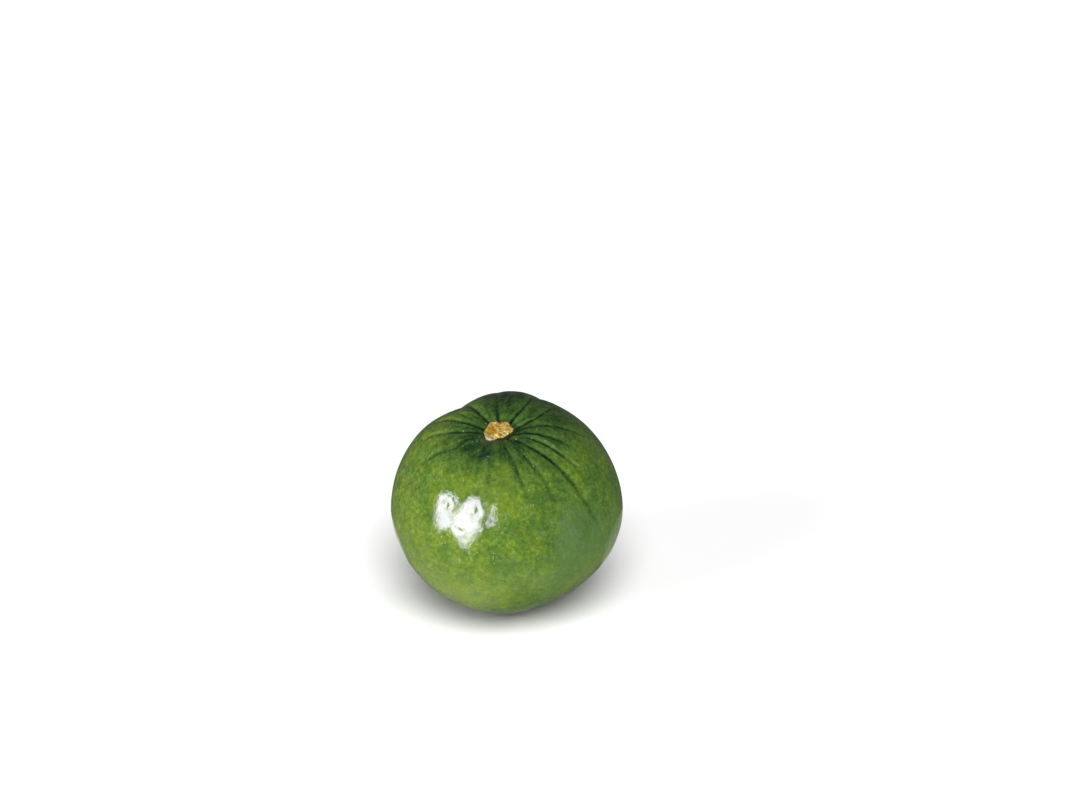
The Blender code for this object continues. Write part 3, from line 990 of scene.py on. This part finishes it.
def skin_material():
    """Waxy green skin: mottled, darker towards the stem partly as painted shade, with painted shade in the
    furrows and painted light beside them, yellower and paler below partly as painted bounce light, and a
    painted sheen in places.
    """
    graph = Graph("zucchini_skin")
    grown = graph.attribute("grown", "Vector")
    polar = graph.attribute("polar")
    high = graph.between(polar, CROWN_RAMP)
    mottle = graph.noise(grown, MOTTLE)
    colour = crowned(graph, ground_colour(graph, grown, polar), high)
    colour = mottled(graph, colour, mottle, polar, high)
    colour = furrowed(graph, stained(graph, colour, grown), grown)

    # Pale specks, partly painted glints, raised a little by the bump below
    distance, chance = graph.cells(grown, SPECK_SCALE)
    specks = graph.times(graph.between(distance, SPECK_EDGE), graph.between(chance, SPECK_CHANCE))
    colour = graph.mix(graph.times(specks, SPECK_SHARE), colour, SPECK_AND_GLINT)
    # Painted glints and a few pale scratches
    colour = graph.mix(graph.attribute("glints_and_scratches"), colour, GLINT_WHITE)
    collar = graph.times(graph.attribute("collar"), graph.between(mottle, COLLAR_MOTTLE))
    colour = graph.mix(collar, colour, OLIVE)
    colour = graph.mix(graph.between(polar, SCAR_RAMP), colour, SCAR_BROWN)

    pores = graph.bump(graph.noise(grown, PORES), PORE_HEIGHT)
    normal = graph.bump(specks, SPECK_HEIGHT, normal=pores)
    graph.shade({"Base Color": colour, "Roughness": graph.between(mottle, SKIN_ROUGHNESS)})
    graph.shade({"Specular IOR Level": 0.0, "Coat Weight": 1.0, "Coat Roughness": WAX_ROUGHNESS})
    graph.shade({"Normal": normal, "Coat Normal": normal})
    return graph.material


# Stem colours, linear
STRAW = (0.300, 0.200, 0.040)
CREAM = (0.550, 0.420, 0.125)
TAN = (0.170, 0.085, 0.014)
OCHRE = (0.270, 0.130, 0.010)
UMBER = (0.120, 0.060, 0.014)
BRIGHT_YELLOW = (0.660, 0.480, 0.100)
PALE_STRAW = (0.560, 0.490, 0.200)
ROSE = (0.420, 0.220, 0.130)
GREENISH = (0.190, 0.250, 0.035)
# The wall's dark green-brown, deepened as painted shade of the seat
BARK_AND_SHADE = (0.036, 0.040, 0.014)
RIND = (0.430, 0.370, 0.310)
GREY_RIND = (0.180, 0.170, 0.140)

# Coloured places on the cut face: millimetres from the stem's middle, to the right and to the back
Place = namedtuple("Place", "x y reach share colour")
CUT_PLACES = [
    Place(-1.2, -2.9, 2.6, 0.85, BRIGHT_YELLOW),
    Place(3.8, -2.2, 3.8, 0.80, PALE_STRAW),
    Place(5.0, 2.3, 2.2, 0.75, ROSE),
    Place(0.6, 5.6, 2.6, 0.95, UMBER),
    Place(-3.6, 0.3, 4.4, 0.90, OCHRE),
    Place(-4.6, -2.2, 1.8, 0.50, UMBER),
]
PLACE_EDGE = Ramp(0.05, 0.75)
GREEN_EDGE = Ramp(-7.6, -4.6, 1.0, 0.0)

# The fibres and the grain of the cork
FIBRE_PATTERN = Pattern(1.2, 4.0, 0.75)
GRAIN = Pattern(1.0, 3.0, 0.70)
FIBRE_SHARE = 0.6
CREAM_RAMP = Ramp(0.47, 0.61)
TAN_RAMP = Ramp(0.38, 0.49, 0.85, 0.0)
BROKEN_COLOUR = Ramp(0.40, 0.58, 0.10, 1.40)
WALL_RAMP = Ramp(0.02, 0.12)
RIND_RAMP = Ramp(0.40, 0.56)
CORK_ROUGHNESS = 0.85
CORK_GLOSS = 0.25
CORK_RELIEF = 0.0004
CORK_RELIEF_STRENGTH = 0.8


def stem_material():
    """Dry corky stem: a fibrous straw-coloured cut face with an ochre heart, torn rind and a dark wall, its
    dark green-brown deepened as painted shade.
    """
    graph = Graph("cut_stem")
    grown = graph.attribute("grown", "Vector")
    fibres = graph.noise(graph.attribute("fibrous", "Vector"), FIBRE_PATTERN)
    grain = graph.noise(grown, GRAIN)
    mixed = graph.plus(graph.times(fibres, FIBRE_SHARE), graph.times(grain, 1.0 - FIBRE_SHARE))
    colour = graph.mix(graph.between(mixed, CREAM_RAMP), STRAW, CREAM)
    colour = graph.mix(graph.between(mixed, TAN_RAMP), colour, TAN)
    x, y = graph.axes(grown)
    broken = graph.between(mixed, BROKEN_COLOUR)
    for place in CUT_PLACES:
        hill = graph.times(graph.hill(x, y, place.x, place.y, place.reach), broken)
        colour = graph.mix(graph.between(hill, PLACE_EDGE._replace(end=place.share)), colour, place.colour)
    colour = graph.mix(graph.times(graph.between(x, GREEN_EDGE), broken), colour, GREENISH)
    # The wall, darkened partly as painted shade
    colour = graph.mix(graph.between(graph.attribute("wall"), WALL_RAMP), colour, BARK_AND_SHADE)
    rind = graph.mix(graph.between(grain, RIND_RAMP), GREY_RIND, RIND)
    colour = graph.mix(graph.attribute("torn"), colour, rind)
    normal = graph.bump(mixed, CORK_RELIEF, CORK_RELIEF_STRENGTH)
    graph.shade({"Base Color": colour, "Normal": normal})
    graph.shade({"Roughness": CORK_ROUGHNESS, "Specular IOR Level": CORK_GLOSS})
    return graph.material


def add_piece(mesh, material, shift, node):
    mesh.transform(Matrix.Translation(shift))
    mesh.materials.append(material)
    piece = bpy.data.objects.new(mesh.name, mesh)
    bpy.context.scene.collection.objects.link(piece)
    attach(piece, "root")
    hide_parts(node)
    return piece


def add_camera(middle):
    right = Vector((1.0, 0.0, 0.0))
    towards = Vector((0.0, -cos(VIEW_RISE), sin(VIEW_RISE)))
    up = Vector((0.0, sin(VIEW_RISE), cos(VIEW_RISE)))
    data = bpy.data.cameras.new("camera")
    data.lens = LENS
    data.sensor_width = SENSOR_WIDTH
    camera = bpy.data.objects.new("camera", data)
    camera.location = middle + towards * VIEW_DISTANCE
    aim = middle + right * AIM_RIGHT + up * AIM_UP
    camera.rotation_euler = (aim - camera.location).to_track_quat("-Z", "Y").to_euler()
    bpy.context.scene.collection.objects.link(camera)
    bpy.context.scene.camera = camera


# The room: half its width, and its height
ROOM = 6.0
ROOM_CORNERS = [(-ROOM, -ROOM), (ROOM, -ROOM), (ROOM, ROOM), (-ROOM, ROOM)]
FLOOR_GREY = (0.60, 0.60, 0.60)
FLOOR_ROUGHNESS = 0.9
BLACK = (0.0, 0.0, 0.0)
WHITE = (1.0, 1.0, 1.0)


def add_surface(graph, corners, faces):
    """A surface with the graph's name and material, which doesn't show as a reflection."""
    mesh = bpy.data.meshes.new(graph.material.name)
    mesh.from_pydata(corners, [], faces)
    mesh.materials.append(graph.material)
    surface = bpy.data.objects.new(mesh.name, mesh)
    surface.visible_glossy = False
    bpy.context.scene.collection.objects.link(surface)
    return surface


def add_floor():
    graph = Graph("floor")
    graph.shade({"Base Color": FLOOR_GREY, "Roughness": FLOOR_ROUGHNESS, "Specular IOR Level": 0.0})
    floor = add_surface(graph, [(x, y, 0.0) for x, y in ROOM_CORNERS], [(0, 1, 2, 3)])
    return floor


def add_walls():
    """White walls far away, which give no light and are there only for a view from low down."""
    graph = Graph("walls")
    graph.shade({"Base Color": BLACK, "Specular IOR Level": 0.0})
    graph.shade({"Emission Color": WHITE, "Emission Strength": 1.0})
    graph.material.cycles.emission_sampling = "NONE"
    corners = [(x, y, z) for z in (0.0, ROOM) for x, y in ROOM_CORNERS]
    walls = add_surface(graph, corners, [(0, 1, 5, 4), (1, 2, 6, 5), (2, 3, 7, 6), (3, 0, 4, 7)])
    walls.visible_diffuse = False
    walls.visible_transmission = False
    walls.visible_shadow = False


# Soft lamps for the fruit and its stem. Directions of all lamps are in degrees, with azimuths counted to the
# left of the view, and sizes in metres
Softbox = namedtuple("Softbox", "name azimuth rise distance width height power tint")
SOFTBOXES = [
    Softbox("key", 50.0, 11.0, 1.10, 0.84, 0.44, 20.5, (1.09, 0.97, 0.93)),
    Softbox("fill", -45.0, 4.0, 1.60, 1.60, 0.90, 25.0, (0.90, 0.99, 1.14)),
    Softbox("top", 0.0, 78.0, 1.60, 2.20, 2.20, 19.8, (0.95, 1.0, 1.16)),
]

# Distant lamps for the floor alone
FloorLight = namedtuple("FloorLight", "name azimuth rise spread strength")
FLOOR_LIGHTS = [
    FloorLight("floor_front", -6.0, 54.0, 40.0, 5.45),
    FloorLight("floor_left", 60.0, 20.0, 25.0, 2.20),
    FloorLight("floor_back", -120.0, 10.0, 20.0, 2.60),
]

# Lamps that only show as reflections in the skin, facing a place on the front left of the belly
Pane = namedtuple("Pane", "name azimuth rise distance width height roll radiance")
PANES = [
    Pane("left_pane", 61.5, 9.3, 0.350, 0.100, 0.145, 21.0, 19.0),
    Pane("middle_pane", 48.0, 7.0, 0.352, 0.040, 0.100, 14.0, 15.0),
    Pane("right_pane", 37.0, 15.4, 0.354, 0.136, 0.150, 12.0, 20.0),
    Pane("strip_pane", 15.4, 18.5, 0.356, 0.016, 0.090, 10.0, 26.0),
    Pane("low_pane", 37.0, 1.0, 0.254, 0.066, 0.066, 45.0, 14.0),
]
PANE_TINT = (0.92, 0.81, 1.10)
SHINE_PLACE = Vector((-0.022, -0.050, 0.018))

# Dim round lamps just above the floor, which only show as faint reflections low in the skin
Sheen = namedtuple("Sheen", "name x y size radiance")
SHEENS = [
    Sheen("front_sheen", -0.30, -0.35, 0.90, 0.06),
    Sheen("left_sheen", -0.067, 0.055, 0.055, 0.62),
    Sheen("right_sheen", 0.090, 0.045, 0.09, 0.25),
]
SHEEN_HEIGHT = 0.002
WORLD_STRENGTH = 0.08


def direction(azimuth, rise):
    """The direction away from the fruit, for angles in degrees."""
    level = cos(radians(rise))
    return Vector((-sin(radians(azimuth)) * level, -cos(radians(azimuth)) * level, sin(radians(rise))))


def light_only(lamp, items):
    group = bpy.data.collections.new(lamp.name + "_lights")
    for item in items:
        group.objects.link(item)
    lamp.light_linking.receiver_collection = group


def add_lamp(name, place, target, width, height, power, only, roll=0.0):
    """A soft lamp that faces the target and lights only the objects named."""
    data = bpy.data.lights.new(name, "AREA")
    data.shape = "RECTANGLE"
    data.size = width
    data.size_y = height
    data.energy = power
    lamp = bpy.data.objects.new(name, data)
    lamp.location = place
    facing = (target - place).to_track_quat("-Z", "Y")
    lamp.rotation_euler = (facing @ Quaternion((0.0, 0.0, 1.0), radians(roll))).to_euler()
    lamp.visible_glossy = False
    lamp.visible_camera = False
    light_only(lamp, only)
    bpy.context.scene.collection.objects.link(lamp)
    return lamp


def show_as_reflection(lamp):
    lamp.visible_glossy = True
    lamp.visible_diffuse = False


def add_softboxes(middle, items):
    for box in SOFTBOXES:
        place = middle + direction(box.azimuth, box.rise) * box.distance
        lamp = add_lamp(box.name, place, middle, box.width, box.height, box.power, items)
        lamp.data.color = box.tint


def add_floor_lights(floor):
    """Lights the floor evenly far away, and leaves it shaded near the fruit."""
    for light in FLOOR_LIGHTS:
        data = bpy.data.lights.new(light.name, "SUN")
        data.energy = light.strength
        data.angle = radians(light.spread)
        lamp = bpy.data.objects.new(light.name, data)
        lamp.location = direction(light.azimuth, light.rise)
        lamp.rotation_euler = lamp.location.to_track_quat("Z", "Y").to_euler()
        light_only(lamp, [floor])
        bpy.context.scene.collection.objects.link(lamp)


def add_panes(middle, skin):
    target = middle + SHINE_PLACE
    for pane in PANES:
        power = pane.radiance * pi * pane.width * pane.height
        place = middle + direction(pane.azimuth, pane.rise) * pane.distance
        lamp = add_lamp(pane.name, place, target, pane.width, pane.height, power, [skin], pane.roll)
        lamp.data.color = PANE_TINT
        show_as_reflection(lamp)


def add_sheens(skin):
    for sheen in SHEENS:
        place = Vector((sheen.x, sheen.y, SHEEN_HEIGHT))
        above = place + Vector((0.0, 0.0, 1.0))
        power = sheen.radiance * pi * pi * (sheen.size / 2) ** 2
        lamp = add_lamp(sheen.name, place, above, sheen.size, sheen.size, power, [skin])
        lamp.data.shape = "ELLIPSE"
        show_as_reflection(lamp)


def add_surroundings():
    world = bpy.data.worlds.new("studio")
    world.use_nodes = True
    background = world.node_tree.nodes["Background"]
    background.inputs["Color"].default_value = (*WHITE, 1.0)
    background.inputs["Strength"].default_value = WORLD_STRENGTH
    bpy.context.scene.world = world


def main():
    fruit = fruit_mesh()
    stub = stub_mesh()
    lay_down(fruit)
    lay_down(stub)
    shift = resting_shift(fruit)
    add_camera(shift)
    skin = add_piece(fruit, skin_material(), shift, "fruit")
    press_flat(fruit)
    stem = add_piece(stub, stem_material(), shift, "stem_stub")
    floor = add_floor()
    add_walls()
    add_softboxes(shift, [skin, stem])
    add_floor_lights(floor)
    add_panes(shift, skin)
    add_sheens(skin)
    add_surroundings()
    bpy.context.scene.view_settings.view_transform = "Standard"


main()
